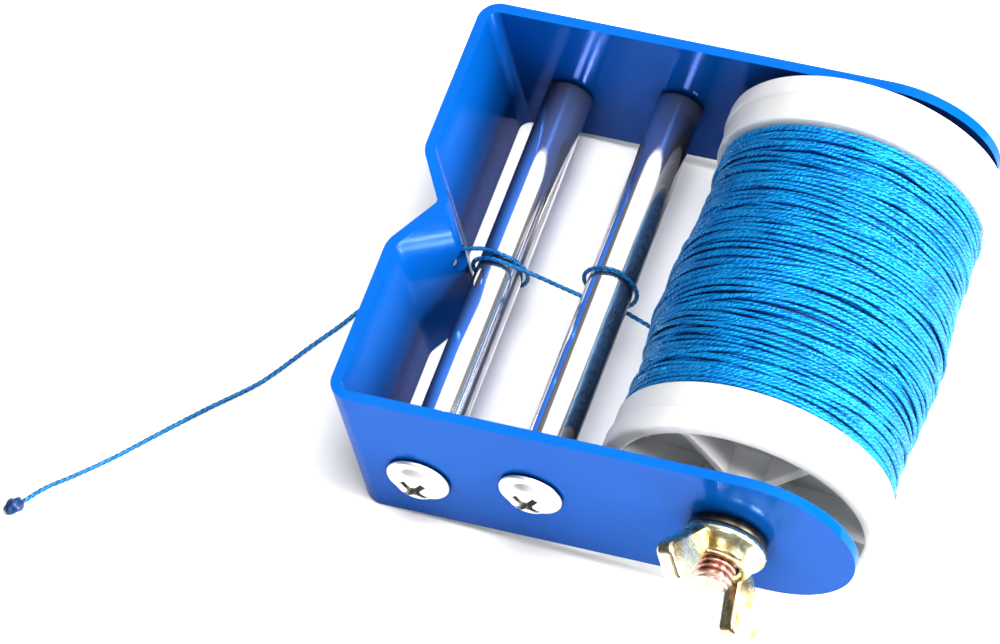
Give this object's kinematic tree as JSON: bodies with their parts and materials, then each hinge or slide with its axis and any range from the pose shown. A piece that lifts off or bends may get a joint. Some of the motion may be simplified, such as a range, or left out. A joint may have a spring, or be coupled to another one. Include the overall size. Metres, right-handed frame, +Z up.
{
  "type": "bow string serving jig",
  "caption": "Hand jig that winds serving thread round a bow string: a bent strap frame with guide rods and a thread spool clamped by a wing nut.",
  "frame": {"origin": "centre of the bounding box without the free thread, on the surface the jig stands on, under the web's lower edge and the spool's rims", "axes": "+X from the web along the arms towards the spool, level with the surface; +Y from the near arm, which carries the wing nut, to the far arm, along the rods and the axle; +Z up"},
  "size_m": [0.1297, 0.0938, 0.043],
  "materials": {
    "blue_paint": "glossy blue coat",
    "polished_steel": "polished",
    "bright_zinc": "bright zinc plate",
    "copper_zinc": "pinkish passivated plate",
    "yellow_zinc": "yellow passivated zinc",
    "white_plastic": "moulded, faint satin",
    "blue_thread": "waxed twisted thread",
    "melted_thread": "melted thread"
  },
  "bodies": {
    "frame": {"strap_frame": "blue_paint", "guide_rod_web": "polished_steel", "guide_rod_spool": "polished_steel", "rod_screw_web_near": "bright_zinc", "rod_screw_web_far": "bright_zinc", "rod_screw_spool_near": "bright_zinc", "rod_screw_spool_far": "bright_zinc", "axle_bolt": "copper_zinc", "thread_line": "blue_thread", "end_knot": "melted_thread"},
    "spool_body": {"spool": "white_plastic", "wound_thread": "blue_thread"},
    "washer_body": {"nut_washer": "yellow_zinc"},
    "nut_body": {"wing_nut": "yellow_zinc"}
  },
  "joints": [
    {"name": "spool_spin", "type": "hinge", "parent": "frame", "child": "spool_body", "pos_m": [0.01989, 0.0043, 0.0215], "axis": [0, 1, 0], "continuous": true},
    {"name": "nut_advance", "type": "slide", "parent": "frame", "child": "washer_body", "axis": [0, -1, 0], "range_m": [0, 0.00301]},
    {"name": "nut_turn", "type": "hinge", "parent": "washer_body", "child": "nut_body", "pos_m": [0.01989, -0.0322, 0.0215], "axis": [0, -1, 0], "range_deg": [0, 1080]}
  ],
  "couplings": [
    {"joint": "nut_advance", "follows": "nut_turn", "m_per_rad": 0.00015915}
  ]
}
